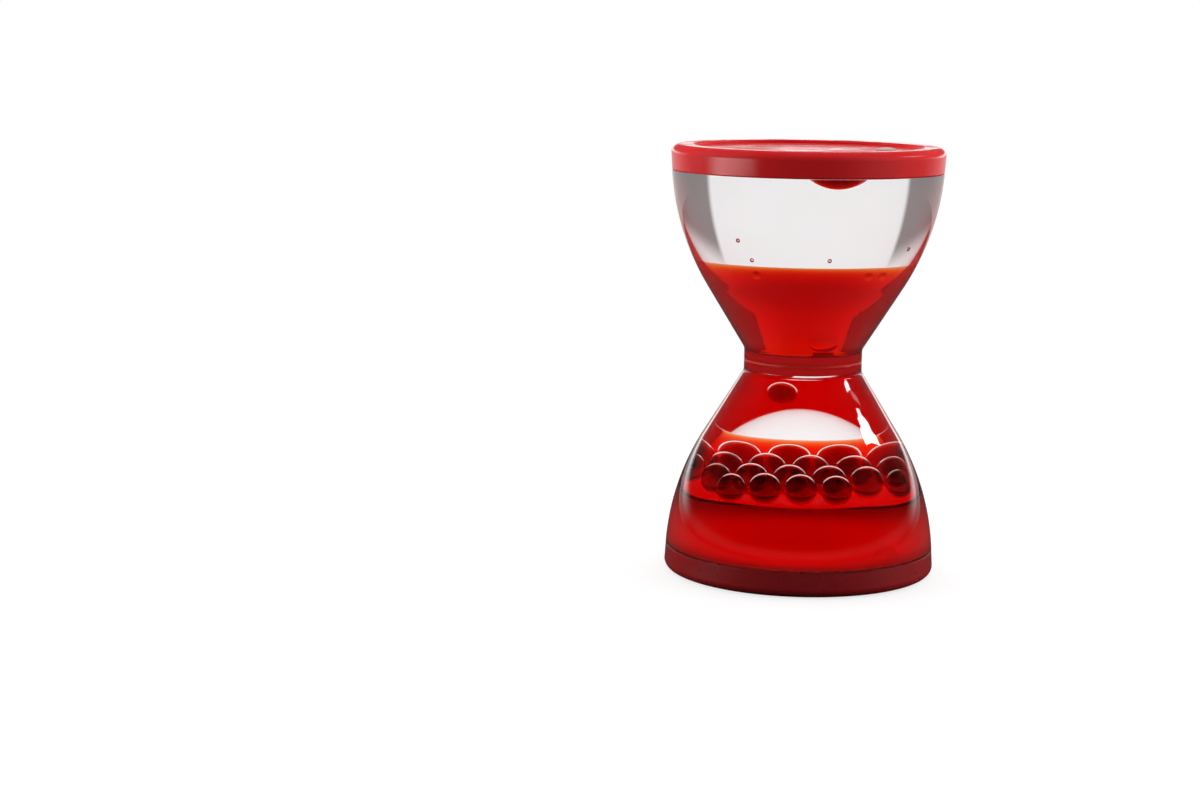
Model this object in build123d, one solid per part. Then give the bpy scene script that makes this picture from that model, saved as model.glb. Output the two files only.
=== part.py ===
from build123d import *
from math import acos, asin, atan2, cos, degrees, hypot, pi, radians, sin, tan
import os

# Liquid motion timer: two clear bowls meet neck to neck over an orifice plate, and a cap closes each mouth.
# A dense red liquid drips down through one spout while a light clear liquid climbs through the other.
# Millimetres, +Z up, origin at the centre of the face that the timer stands on.

# Bowls: two identical clear mouldings
bowl_height = 36.1  # from the neck plane to the mouth
bowl_mouth_radius = 25.8
bowl_wall = 1.8
shoulder_height = 24.3  # where the cone and the mouth would meet if the shoulder were sharp
mouth_draft = 4.0  # degrees that the mouth leans outwards
neck_radius = 11.3
collar_height = 2.2  # straight part of the neck, above the neck plane
neck_fillet = 1.5
tongue_width = 0.8  # rib on the mouth that locates the cap
tongue_height = 1.0

# Caps
cap_flare = 0.2  # that the cap's outer edge stands out past the mouth
cap_thickness = 4.9
cap_edge_fillet = 1.5
cap_seam_fillet = 0.3  # where the cap meets the mouth
cap_foot_width = 2.4  # flat ring that the timer stands on, inside the edge fillet
cap_recess = 0.6  # depth of the face inside that ring
cap_recess_fillet = 0.4
groove_clearance = 0.05  # each side of the tongue
sealant_depth = 0.4  # left over the tongue, filled with sealant
sealant_shrink = 0.02  # each side of the sealant ring

# Fill port in the upper cap
port_offset = 14.7  # from the axis, towards +X
port_radius = 1.5
plug_clearance = 0.03
plug_inset = 0.8  # from the recessed face down to the plug
sealant_blob_radius = 2.0
sealant_blob_height = 0.45

# Orifice plate in the neck
plate_thickness = 3.6
plate_ledge = 0.9  # that the plate's rim reaches into the neck's wall
plate_clearance = 0.05
weld_thickness = 0.4  # bead that joins the two necks
spout_offset = 2.7  # from the axis: drip spout towards -X, riser spout towards +X
spout_length = 2.0
spout_root_radius = 2.0
spout_tip_radius = 1.3
spout_bore_radius = 0.7

# Liquids
liquid_gap = 0.05  # between a liquid and what it wets
upper_red_level = 20.1  # red surface in the upper bowl, above the neck plane
lower_red_level = 24.7  # red surface in the lower bowl, below the neck plane

# Drops
drop_film = 0.1  # clear film round a drop that has settled
drop_clearance = 0.3  # round a drop that travels
settled_radius = 2.7
settled_lift = 0.4  # drop centres above the red surface
settled_spacing = 0.3  # between neighbours in a row
raft_back = 8.2  # the back row of the raft, behind the axis
raft_row_pitch = 6.1  # from one row forwards to the next
raft_row_shifts = (-1.2, 1.4, -1.45, 0.1)  # of each row along X, from the back row forwards
raft_edge = 12.5  # the raft ends this far in front of the axis
raft_edge_angle = 30.0  # degrees that this edge turns away from X
falling_radius = 2.15
falling_depth = 8.5  # centre below the neck plane as drawn, on its way down
landing_gap = 0.6  # left above the raft when the falling drop has landed
rising_radius = 2.0
surface_gap = 0.4  # left under the red surface when the rising drop has arrived
clinging_red_radius = 4.6  # dome of red left on the upper cap
clinging_red_height = 2.3
clinging_red_offset = 4.0  # towards +X
clinging_clear_radius = 2.5  # dome of clear left on the lower cap
clinging_clear_height = 2.2
clinging_clear_inset = 3.0  # from the wall
clinging_clear_azimuth = -38.0  # degrees from +X
risen_radius = 0.8
risen_depth = 1.7  # of their centres under the upper red surface
risen_azimuths = (-119.0, -52.0, -41.5)  # small clear drops that wait at the wall
bubble_radius = 0.4
bubble_azimuths = (-125.0, -119.0, -78.0, -30.0)  # air bubbles on the wall of the upper bowl
bubble_lifts = (4.5, 1.0, 1.3, 3.1)  # of each bubble over the red surface

# Frame
neck_z = cap_thickness + bowl_height
overall_height = 2 * neck_z

# Shape of a bowl's outside, as radius and height over the neck plane: a straight collar, then a cone, then a
# shoulder arc that is tangent to the cone and runs out at the mouth with its draft.
shoulder_reach = (bowl_height - shoulder_height) / cos(radians(mouth_draft))
knee_radius = bowl_mouth_radius - (bowl_height - shoulder_height) * tan(radians(mouth_draft))
cone_angle = atan2(knee_radius - neck_radius, shoulder_height - collar_height)
shoulder_radius = shoulder_reach / tan((cone_angle - radians(mouth_draft)) / 2)
shoulder_centre = (
    bowl_mouth_radius - shoulder_radius * cos(radians(mouth_draft)),
    bowl_height + shoulder_radius * sin(radians(mouth_draft)),
)
neck_bore = neck_radius - bowl_wall
cap_radius = bowl_mouth_radius + cap_flare
plate_radius = neck_bore + plate_ledge
plate_half = plate_thickness / 2
weld_half = weld_thickness / 2
seat_radius = plate_radius + plate_clearance


def on_shoulder(angle, inset):
    """Point of the shoulder arc whose tangent leans by angle from the vertical, inset from the outside."""
    radius = shoulder_radius - inset
    return shoulder_centre[0] + radius * cos(angle), shoulder_centre[1] - radius * sin(angle)


def angle_at(height, inset):
    """Lean of the shoulder arc at a height over the neck plane."""
    return asin((shoulder_centre[1] - height) / (shoulder_radius - inset))


def wall_edges(inset, bore, top):
    """Edges of the wall from its bore in the neck, up the cone and round the shoulder to the height top."""
    tangent = on_shoulder(cone_angle, inset)
    climb = (tangent[0] - bore) / tan(cone_angle)
    neck = (bore, tangent[1] - climb)
    top_angle = angle_at(top, inset)
    middle = on_shoulder((cone_angle + top_angle) / 2, inset)
    end = on_shoulder(top_angle, inset)
    return neck, end, Line(neck, tangent) + ThreePointArc(tangent, middle, end)


def wall_radius(height, inset):
    """Radius of the wall at a height over the neck plane."""
    tangent = on_shoulder(cone_angle, inset)
    if height < tangent[1]:
        return tangent[0] - (tangent[1] - height) * tan(cone_angle)
    return on_shoulder(angle_at(height, inset), inset)[0]


def turned(outline):
    """Solid turned about Z from a closed outline of radius and height."""
    return revolve(Plane.XZ * make_face(outline), axis=Axis.Z)


def upper(piece):
    """A piece drawn from the neck plane towards a cap, placed in the upper half."""
    return Pos(0, 0, neck_z) * piece


def lower(piece):
    """The same piece turned over into the lower half."""
    return Pos(0, 0, neck_z) * Rot(180, 0, 0) * piece


def post(x, y, low, high, radius):
    """Upright cylinder between two heights."""
    return Pos(x, y, low) * Cylinder(radius, high - low, align=(Align.CENTER, Align.CENTER, Align.MIN))


def dome(radius, height):
    """Cap of a sphere that stands on the XY plane."""
    ball = (radius**2 + height**2) / (2 * height)
    side = Line((radius, 0), (0, 0)) + Line((0, 0), (0, height))
    half_angle = acos((ball - height) / ball) / 2
    bulge = (ball * sin(half_angle), height - ball + ball * cos(half_angle))
    return turned(side + ThreePointArc((0, height), bulge, (radius, 0)))


def at_azimuth(radius, azimuth):
    return radius * cos(radians(azimuth)), radius * sin(radians(azimuth))


# Tongue and groove share the middle of the wall at the mouth
mouth_inner_radius = wall_radius(bowl_height, bowl_wall)
mouth_middle = (bowl_mouth_radius + mouth_inner_radius) / 2
groove_width = tongue_width + 2 * groove_clearance
groove_depth = tongue_height + sealant_depth
port_floor = bowl_height + cap_thickness - cap_recess  # recessed face that the fill port opens on


def ring(low, high, half_width):
    """Upright ring in the middle of the mouth's wall, between two heights."""
    outside = post(0, 0, low, high, mouth_middle + half_width)
    return outside - post(0, 0, low, high, mouth_middle - half_width)


def bowl():
    """Clear bowl: collar, cone, shoulder, tongue on the mouth, and a rebate in the neck for the plate."""
    outer_neck, outer_mouth, outside = wall_edges(0, neck_radius, bowl_height)
    inner_neck, inner_mouth, inside = wall_edges(bowl_wall, neck_bore, bowl_height)
    tongue_inside = mouth_middle - tongue_width / 2
    tongue_outside = mouth_middle + tongue_width / 2
    tongue_top = bowl_height + tongue_height
    mouth = Polyline(
        outer_mouth,
        (tongue_outside, bowl_height),
        (tongue_outside, tongue_top),
        (tongue_inside, tongue_top),
        (tongue_inside, bowl_height),
        inner_mouth,
    )
    neck = Polyline(
        inner_neck,
        (neck_bore, plate_half),
        (seat_radius, plate_half),
        (seat_radius, weld_half),
        (neck_radius, weld_half),
        outer_neck,
    )
    section = make_face(outside + mouth + inside + neck)
    corner = section.vertices().sort_by_distance((*outer_neck, 0))[0]
    return revolve(Plane.XZ * fillet(corner, neck_fillet), axis=Axis.Z)


def cap(with_port):
    """Cap: foot ring and shallow recess outside, sealing groove inside, and the fill port in one of them."""
    face = bowl_height + cap_thickness
    foot_outside = cap_radius - cap_edge_fillet
    foot_inside = foot_outside - cap_foot_width
    recess_radius = foot_inside - cap_recess_fillet
    seam_inside = (bowl_mouth_radius - cap_seam_fillet, bowl_height)
    seam_outside = (bowl_mouth_radius, bowl_height + cap_seam_fillet)
    edge_low = (cap_radius, face - cap_edge_fillet)
    inside = Polyline((0, port_floor), (0, bowl_height), seam_inside)
    side = TangentArc(seam_inside, seam_outside, tangent=(1, 0)) + Line(seam_outside, edge_low)
    edge = TangentArc(edge_low, (foot_outside, face), tangent=(0, 1))
    foot = Line((foot_outside, face), (foot_inside, face))
    recess_low = (recess_radius, face - cap_recess_fillet)
    recess_edge = TangentArc((foot_inside, face), recess_low, tangent=(-1, 0))
    recess = Polyline(recess_low, (recess_radius, port_floor), (0, port_floor))
    disc = turned(inside + side + edge + foot + recess_edge + recess)
    disc -= ring(bowl_height, bowl_height + groove_depth, groove_width / 2)
    if with_port:
        disc -= post(port_offset, 0, bowl_height, face, port_radius)
    return disc


def cap_sealant():
    """Ring of sealant over the tongue, at the bottom of the groove."""
    return ring(bowl_height + tongue_height, bowl_height + groove_depth, groove_width / 2 - sealant_shrink)


def neck_weld_bead():
    """Bead between the two collars, round the rim of the plate."""
    return post(0, 0, -weld_half, weld_half, neck_radius) - post(0, 0, -weld_half, weld_half, seat_radius)


def spout(grown):
    """Tapered spout that stands on top of the plate, at +X, grown all round."""
    taper = Cone(
        spout_root_radius + grown,
        spout_tip_radius + grown,
        spout_length + grown,
        align=(Align.CENTER, Align.CENTER, Align.MIN),
    )
    return Pos(spout_offset, 0, plate_half) * taper


spout_tip = plate_half + spout_length  # distance of both spout tips from the neck plane


def orifice_plate():
    """Plate with a riser spout on top at +X and a drip spout below at -X: the same thing turned over."""
    plate = post(0, 0, -plate_half, plate_half, plate_radius)
    plate += spout(0)
    plate += Rot(0, 180, 0) * spout(0)
    plate -= post(spout_offset, 0, -plate_half, spout_tip, spout_bore_radius)
    plate -= post(-spout_offset, 0, -spout_tip, plate_half, spout_bore_radius)
    return plate


def fill_plug():
    """Plug in the fill port, flush with the inside of the cap."""
    return post(port_offset, 0, bowl_height, port_floor - plug_inset, port_radius - plug_clearance)


def fill_sealant():
    """Sealant over the plug: a stem in the port and a low blob on the recessed face."""
    stem = post(port_offset, 0, port_floor - plug_inset, port_floor, port_radius - plug_clearance)
    return stem + Pos(port_offset, 0, port_floor) * dome(sealant_blob_radius, sealant_blob_height)


def chamber():
    """All the room for liquid in one bowl, from the plate to the cap."""
    bore = neck_bore - liquid_gap
    floor = plate_half + liquid_gap
    ceiling = bowl_height - liquid_gap
    neck, mouth, wall = wall_edges(bowl_wall + liquid_gap, bore, ceiling)
    rest = Polyline(mouth, (0, ceiling), (0, floor), (bore, floor), neck)
    return turned(wall + rest)


def layer(low, high):
    """Part of a chamber between two heights over the neck plane."""
    return chamber() & post(0, 0, low, high, bowl_mouth_radius)


def bore_column(x, low, high):
    """Liquid that stands in a spout's bore and reaches down to the chamber behind it."""
    return post(x, 0, low, high, spout_bore_radius - liquid_gap)


def ball(x, y, z, radius):
    return Pos(x, y, z) * Sphere(radius)


def settled_places():
    """Centres of the settled drops, row by row from the back, where the wall and the front edge leave room."""
    pitch = 2 * settled_radius + settled_spacing
    height = lower_red_level - settled_lift
    room = wall_radius(height - settled_radius, bowl_wall) - settled_radius - settled_spacing
    edge = radians(raft_edge_angle)
    columns = int(room / pitch) + 1
    places = []
    for row, shift in enumerate(raft_row_shifts):
        y = raft_back - row * raft_row_pitch
        for column in range(-columns, columns + 1):
            x = shift + column * pitch
            behind_edge = y * cos(edge) - x * sin(edge) > -raft_edge
            if behind_edge and hypot(x, y) < room:
                places.append((x, y, neck_z - height))
    return places


def settled_drops(film):
    """Drops of the raft, each grown by a film."""
    return [ball(x, y, z, settled_radius + film) for x, y, z in settled_places()]


raft_top = lower_red_level - settled_lift - settled_radius  # below the neck plane
falling_start = spout_tip + drop_clearance + falling_radius  # centre below the neck plane, off the spout
falling_end = raft_top - landing_gap - falling_radius
rising_rest = spout_tip + drop_clearance + rising_radius  # centre above the neck plane, off the spout
rising_end = upper_red_level - surface_gap - rising_radius
fall_back = falling_start - falling_depth  # travel from the drop as drawn, back up and on down
fall_on = falling_end - falling_depth
rise_on = rising_end - rising_rest


def fall_path():
    """Room that the drip spout and the falling drop take out of the clear liquid."""
    low = neck_z - falling_end - falling_radius - drop_clearance
    path = post(-spout_offset, 0, low, neck_z, falling_radius + drop_clearance)
    return path + Pos(0, 0, neck_z) * Rot(0, 180, 0) * spout(liquid_gap)


def rise_path():
    """Room that the riser spout and the rising drop take out of the red liquid."""
    high = neck_z + rising_end + rising_radius + drop_clearance / 2
    path = post(spout_offset, 0, neck_z, high, rising_radius + drop_clearance)
    return path + Pos(0, 0, neck_z) * spout(liquid_gap)


def clinging_red(film):
    """Dome of red liquid that hangs from the upper cap."""
    shape = dome(clinging_red_radius + film, clinging_red_height + film)
    return Pos(clinging_red_offset, 0, neck_z + bowl_height) * Rot(180, 0, 0) * shape


def clinging_clear(film):
    """Dome of clear liquid that sits on the lower cap."""
    reach = wall_radius(bowl_height - clinging_clear_height, bowl_wall) - clinging_clear_inset
    x, y = at_azimuth(reach - clinging_clear_radius, clinging_clear_azimuth)
    shape = dome(clinging_clear_radius + film, clinging_clear_height + film)
    return Pos(x, y, neck_z - bowl_height) * shape


def risen_drops(film):
    """Small clear drops that have climbed to the upper red surface and wait there at the wall."""
    height = upper_red_level - risen_depth
    reach = wall_radius(height - risen_radius, bowl_wall) - risen_radius - 2 * drop_film - liquid_gap
    drops = []
    for azimuth in risen_azimuths:
        x, y = at_azimuth(reach, azimuth)
        drops.append(ball(x, y, neck_z + height, risen_radius + film))
    return drops


def wall_bubbles(film):
    """Tiny air bubbles on the wall of the upper bowl."""
    bubbles = []
    for azimuth, lift in zip(bubble_azimuths, bubble_lifts):
        height = upper_red_level + lift
        reach = wall_radius(height - bubble_radius, bowl_wall) - bubble_radius - 2 * drop_film - liquid_gap
        x, y = at_azimuth(reach, azimuth)
        bubbles.append(ball(x, y, neck_z + height, bubble_radius + film))
    return bubbles


def upper_clear_liquid():
    liquid = upper(layer(upper_red_level + liquid_gap, bowl_height))
    return liquid - [clinging_red(drop_film), *wall_bubbles(drop_film)]


def upper_red_liquid():
    """Red liquid in the upper bowl and down the bore of the drip spout."""
    liquid = upper(layer(0, upper_red_level))
    liquid += bore_column(-spout_offset, neck_z - spout_tip, neck_z + plate_thickness)
    return liquid - [rise_path(), *risen_drops(drop_film)]


def lower_clear_liquid():
    """Clear liquid in the lower bowl and up the bore of the riser spout."""
    liquid = lower(layer(0, lower_red_level - liquid_gap))
    liquid += bore_column(spout_offset, neck_z - plate_thickness, neck_z + spout_tip)
    return liquid - [fall_path(), *settled_drops(drop_film)]


def lower_red_liquid():
    liquid = lower(layer(lower_red_level, bowl_height))
    return liquid - [clinging_clear(drop_film), *settled_drops(drop_film)]


nodes = {
    "upper_bowl": upper(bowl()),
    "lower_bowl": lower(bowl()),
    "upper_cap": upper(cap(with_port=True)),
    "lower_cap": lower(cap(with_port=False)),
    "upper_cap_sealant": upper(cap_sealant()),
    "lower_cap_sealant": lower(cap_sealant()),
    "neck_weld_bead": upper(neck_weld_bead()),
    "orifice_plate": upper(orifice_plate()),
    "fill_plug": upper(fill_plug()),
    "fill_sealant": upper(fill_sealant()),
    "upper_clear_liquid": upper_clear_liquid(),
    "upper_red_liquid": upper_red_liquid(),
    "lower_clear_liquid": lower_clear_liquid(),
    "lower_red_liquid": lower_red_liquid(),
    "settled_red_drops": Compound(settled_drops(0)),
    "clinging_red_drop": clinging_red(0),
    "clinging_clear_drop": clinging_clear(0),
    "risen_clear_drops": Compound(risen_drops(0)),
    "wall_bubbles": Compound(wall_bubbles(0)),
    "falling_red_drop": ball(-spout_offset, 0, neck_z - falling_depth, falling_radius),
    "rising_clear_drop": ball(spout_offset, 0, neck_z + rising_rest, rising_radius),
}

os.makedirs("parts", exist_ok=True)
for name, shape in nodes.items():
    export_step(shape, f"parts/{name}.step")

print("overall", round(2 * cap_radius, 2), "across and", round(overall_height, 2), "tall")
print("cone half angle", round(degrees(cone_angle), 2), "shoulder radius", round(shoulder_radius, 2))
print("settled drops", len(settled_places()), "each", round(4 / 3 * pi * settled_radius**3, 1), "cubic mm")
print("falling drop at", round(neck_z - falling_depth, 3), "travels", round(fall_back, 3), "to", round(fall_on, 3))
print("rising drop at", round(neck_z + rising_rest, 3), "travels 0 to", round(rise_on, 3))
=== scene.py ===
# %% [markdown]
# # A liquid motion timer
#
# Two clear bowls meet neck to neck, a red cap closes each mouth, and two liquids that do not mix
# trade places through a plate in the neck. The CAD model gives the fixed frame: every piece here
# goes where its solid is, in metres, with +Z up and the viewer at -Y. The lesson rebuilds what
# light passes through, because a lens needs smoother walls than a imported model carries, and gives
# each surface the finish of the real material.

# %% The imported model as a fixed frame
import math

import bpy
import numpy as np
from mathutils import Matrix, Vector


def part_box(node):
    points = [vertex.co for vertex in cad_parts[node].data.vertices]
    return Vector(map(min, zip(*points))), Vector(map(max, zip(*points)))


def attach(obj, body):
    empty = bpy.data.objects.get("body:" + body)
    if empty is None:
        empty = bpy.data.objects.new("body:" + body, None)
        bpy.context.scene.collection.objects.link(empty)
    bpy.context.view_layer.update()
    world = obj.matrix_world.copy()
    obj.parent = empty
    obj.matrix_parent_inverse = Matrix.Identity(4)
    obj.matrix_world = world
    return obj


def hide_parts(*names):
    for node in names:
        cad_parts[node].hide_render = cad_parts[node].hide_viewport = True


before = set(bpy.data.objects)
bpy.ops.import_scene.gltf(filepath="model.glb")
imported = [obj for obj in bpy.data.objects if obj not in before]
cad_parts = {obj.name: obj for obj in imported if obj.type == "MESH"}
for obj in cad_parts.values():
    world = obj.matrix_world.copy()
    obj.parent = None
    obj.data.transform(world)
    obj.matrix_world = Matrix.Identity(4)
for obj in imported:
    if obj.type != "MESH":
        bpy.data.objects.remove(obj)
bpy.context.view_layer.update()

MM = 0.001

# %% [markdown]
# ## Sizes
#
# A scene could read every size from the solids, but walls, levels and drops are easier to follow
# with names. They are the same named values that drive the CAD model, in millimetres. Heights in a
# bowl count from the neck plane.

# %% Sizes of the bowls
neck_z = 41.0
bowl_height = 36.1
mouth_radius = 25.8
wall = 1.8
shoulder_height = 24.3
mouth_draft = math.radians(4.0)
neck_radius = 11.3
collar_height = 2.2
neck_fillet = 1.5
plate_half = 1.8
weld_half = 0.17
seat_radius = 10.35
tongue_width = 0.8
tongue_height = 1.0

neck_bore = neck_radius - wall
shoulder_reach = (bowl_height - shoulder_height) / math.cos(mouth_draft)
knee_radius = mouth_radius - (bowl_height - shoulder_height) * math.tan(mouth_draft)
cone_angle = math.atan2(knee_radius - neck_radius, shoulder_height - collar_height)
shoulder_radius = shoulder_reach / math.tan((cone_angle - mouth_draft) / 2)
shoulder_r = mouth_radius - shoulder_radius * math.cos(mouth_draft)
shoulder_h = bowl_height + shoulder_radius * math.sin(mouth_draft)
print("cone of", round(math.degrees(cone_angle), 2), "degrees")
print("shoulder radius", round(shoulder_radius, 2), "mm")


# %% [markdown]
# ## Surfaces from arrays
#
# Glass and liquid could be drawn with modifiers on a few edges. A grid of points worked out in one
# go is better here: the spacing of the points is chosen where light bends most, and a closed skin
# has no seam to leak light.

# %% Wall of a bowl as a function of height
def wall_radius(height, inset):
    """Radius of the wall, inset from the outside: a cone up to its tangent point, then an arc."""
    radius = shoulder_radius - inset
    tangent_r = shoulder_r + radius * math.cos(cone_angle)
    tangent_h = shoulder_h - radius * math.sin(cone_angle)
    on_cone = tangent_r - (tangent_h - height) * math.tan(cone_angle)
    on_arc = shoulder_r + np.sqrt(radius**2 - (shoulder_h - height) ** 2)
    return np.where(height < tangent_h, on_cone, on_arc)


mouth_inner = float(wall_radius(np.array(bowl_height), wall))
print("inner radius at the mouth", round(mouth_inner, 2), "mm")


# %% Outlines: rounded corners and even spacing
arc_guard = 0.02


def rounded(corners, radii, steps=7):
    """Outline whose corners become arcs, which touch both runs at radius * tan(turn / 2).

    A point just outside each end of an arc keeps the shading of the straight runs flat.
    """
    corners = np.asarray(corners, float)
    done = [corners[:1]]
    for before, corner, after, radius in zip(corners, corners[1:], corners[2:], radii):
        come = (corner - before) / np.linalg.norm(corner - before)
        leave = (after - corner) / np.linalg.norm(after - corner)
        turn = math.atan2(come[0] * leave[1] - come[1] * leave[0], come @ leave)
        side = np.array([-come[1], come[0]]) * math.copysign(radius, turn)
        start = corner - come * radius * math.tan(abs(turn) / 2)
        swept = np.linspace(0.0, turn, steps)[:, None]
        spoke = -side * np.cos(swept) + np.array([side[1], -side[0]]) * np.sin(swept)
        arc = start + side + spoke
        done += [[arc[0] - come * arc_guard], arc, [arc[-1] + leave * arc_guard]]
    return np.vstack(done + [corners[-1:]])


def evenly(outline, step):
    """The same outline with every run divided into parts no longer than step."""
    runs = [
        np.linspace(a, b, max(1, math.ceil(np.linalg.norm(b - a) / step)), endpoint=False)
        for a, b in zip(outline, outline[1:])
    ]
    return np.vstack(runs + [outline[-1:]])


print("points on each side of an arc stand", arc_guard, "mm from it")


# %% Skins: rings of points joined into closed faces
def turned(outline, azimuths, proud=0.0):
    """Rings of an outline (r, h) about the axis: x = r cos a, y = r sin a, z = h.

    Proud, one value or one for each point, is added to r.
    """
    radius = outline[:, :1] + proud
    height = np.broadcast_to(outline[:, 1:], (len(outline), len(azimuths)))
    return np.stack([radius * np.cos(azimuths), radius * np.sin(azimuths), height], axis=-1)


def skin(rings, first=None, last=None):
    """Points and faces over rings: each point joins the next one and the two above them.

    Poles close the first and the last ring. Without poles the last ring joins the first.
    """
    count, around = rings.shape[:2]
    here = np.arange(around)
    there = (here + 1) % around
    row = np.arange(count if first is None else count - 1)[:, None] * around
    above = (row + around) % (count * around)
    faces = np.stack([row + here, row + there, above + there, above + here], axis=-1)
    faces = faces.reshape(-1, 4).tolist()
    points = rings.reshape(-1, 3)
    if first is not None:
        points = np.vstack([points, first, last])
        low = np.full(around, count * around)
        top = (count - 1) * around
        faces += np.stack([low, there, here], axis=-1).tolist()
        faces += np.stack([top + here, top + there, low + 1], axis=-1).tolist()
    return points, faces


half_turn = np.array([1.0, -1.0, -1.0])


def in_upper(points):
    """A shape drawn from the neck plane upwards, moved to the upper half."""
    return points + np.array([0.0, 0.0, neck_z])


def in_lower(points):
    """The same shape turned half round the X axis into the lower half."""
    return points * half_turn + np.array([0.0, 0.0, neck_z])


mouth_middle = np.array([0.0, 0.0, bowl_height])
print("mouths at", in_upper(mouth_middle)[2].round(2), "and", in_lower(mouth_middle)[2].round(2))


# %% Pieces: a mesh with its body, its solid and its finish
def piece(name, islands, body, nodes, finishes, zones=None):
    """One object from closed islands (points, faces) in millimetres.

    Zones give the finish of each face. The volume is the sum of a . (b x c) / 6 over triangles.
    """
    starts = np.cumsum([0] + [len(points) for points, _ in islands])
    points = np.vstack([points for points, _ in islands]) * MM
    faces = [
        [int(v + start) for v in face]
        for (_, part), start in zip(islands, starts)
        for face in part
    ]
    mesh = bpy.data.meshes.new(name)
    mesh.from_pydata(points, [], faces)
    mesh.shade_smooth()
    if zones is not None:
        mesh.polygons.foreach_set("material_index", zones)
    for finish in finishes:
        mesh.materials.append(finish)
    mesh.update()
    mesh.calc_loop_triangles()
    corners = np.empty(len(mesh.loop_triangles) * 3, np.int32)
    mesh.loop_triangles.foreach_get("vertices", corners)
    a, b, c = points[corners].reshape(-1, 3, 3).transpose(1, 0, 2)
    volume = np.einsum("ij,ij->i", a, np.cross(b, c)).sum() / 6
    made = bpy.data.objects.new(name, mesh)
    bpy.context.scene.collection.objects.link(made)
    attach(made, body)
    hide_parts(*nodes)
    print(f"{name}: {len(mesh.loop_triangles)} triangles, {volume * 1e6:.3f} ml")


# %% [markdown]
# ## Finishes
#
# A finish could be painted on with pictures. Noises are used here instead: they have no
# resolution and need no unwrapping. They read Object coordinates, which are metres, so a noise of
# scale 1 / size repeats about every size. Colours are written as sRGB hex values and turned to
# linear light by one function. One function adds a node, and a setting that is itself a socket
# becomes a link. A Mix node has sockets for every kind of value: its two colours are inputs 6 and
# 7 and its mixed colour is output 2, while its two plain numbers are inputs 2 and 3.

# %% Colour and node helpers
NOISE, BUMP, PRINCIPLED = "ShaderNodeTexNoise", "ShaderNodeBump", "ShaderNodeBsdfPrincipled"
MAP, MATH, MIX = "ShaderNodeMapRange", "ShaderNodeMath", "ShaderNodeMix"
VECTOR, SEPARATE, RAYS = "ShaderNodeVectorMath", "ShaderNodeSeparateXYZ", "ShaderNodeLightPath"
COLOURS = {"data_type": "RGBA"}


def linear(code):
    """sRGB hex to linear RGBA, by the sRGB transfer curve."""
    channels = np.array([int(code[i : i + 2], 16) for i in (0, 2, 4)]) / 255
    low, high = channels / 12.92, ((channels + 0.055) / 1.055) ** 2.4
    return (*np.where(channels <= 0.04045, low, high).tolist(), 1.0)


def add(tree, kind, settings):
    """Adds a node: each setting is an input by name or number, or else a property of the node."""
    node = tree.nodes.new(kind)
    for key, value in settings.items():
        if isinstance(value, bpy.types.NodeSocket):
            tree.links.new(value, node.inputs[key])
        elif isinstance(key, int) or key in node.inputs:
            node.inputs[key].default_value = value
        else:
            setattr(node, key, value)
    return node


def per_mm(size):
    """Noise scale whose features are about size millimetres across."""
    return 1.0 / (size * MM)


def new_finish(name):
    """An empty material, its node tree, its output node and Object coordinates."""
    material = bpy.data.materials.new(name)
    material.use_nodes = True
    tree = material.node_tree
    tree.nodes.clear()
    output = add(tree, "ShaderNodeOutputMaterial", {})
    place = add(tree, "ShaderNodeTexCoord", {}).outputs["Object"]
    return material, tree, output, place


white_light, no_light = linear("FFFFFF"), linear("000000")
print("mid grey in linear light:", round(linear("808080")[0], 3))


# %% [markdown]
# ### Clear polystyrene
#
# The bowls are injection moulded in general purpose polystyrene: water clear, index just under
# 1.6, polished by the mould. What gives it away is not colour but the sharp image of a window in
# it, a slight waviness and a faint haze from use. A plain glass shader would be too perfect, so
# the Principled one takes a noise on its roughness and another as a low bump. Light that crosses
# from plastic into liquid hardly reflects, so the wetted inside is the same material with its
# reflection taken away.

# %% Polished polystyrene, dry and wetted
haze_size, wave_size, wave_height = 9.0, 14.0, 0.05


def polystyrene(name, gloss):
    """Clear moulding: a noise for haze on roughness and tint, a broader one as a low bump."""
    material, tree, output, place = new_finish(name)
    haze = add(tree, NOISE, {"Vector": place, "Scale": per_mm(haze_size), "Detail": 4.0})
    haze = haze.outputs["Fac"]
    rough = add(tree, MAP, {"Value": haze, "From Min": 0.45, "From Max": 0.8,
                            "To Min": 0.0, "To Max": 0.03})
    tint = add(tree, MIX, COLOURS | {0: haze, 6: linear("FDFDFE"), 7: linear("F7F8FA")})
    wave = add(tree, NOISE, {"Vector": place, "Scale": per_mm(wave_size), "Detail": 1.0})
    bump = add(tree, BUMP, {"Height": wave.outputs["Fac"], "Strength": 0.06,
                            "Distance": wave_height * MM})
    shader = add(tree, PRINCIPLED, {
        "Base Color": tint.outputs[2],
        "Roughness": rough.outputs["Result"],
        "Normal": bump.outputs["Normal"],
        "IOR": 1.57,
        "Transmission Weight": 1.0,
        "Specular Tint": gloss,
    })
    tree.links.new(shader.outputs["BSDF"], output.inputs["Surface"])
    return material


# Dry, it gives the eye a crisp highlight and a bright rim.
dry_polystyrene = polystyrene("polystyrene_moulded_polished", white_light)
# Wetted, it gives nothing but a bend in what lies behind.
wet_polystyrene = polystyrene("polystyrene_wetted_inside", no_light)
print("finishes:", dry_polystyrene.name, wet_polystyrene.name)


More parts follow.
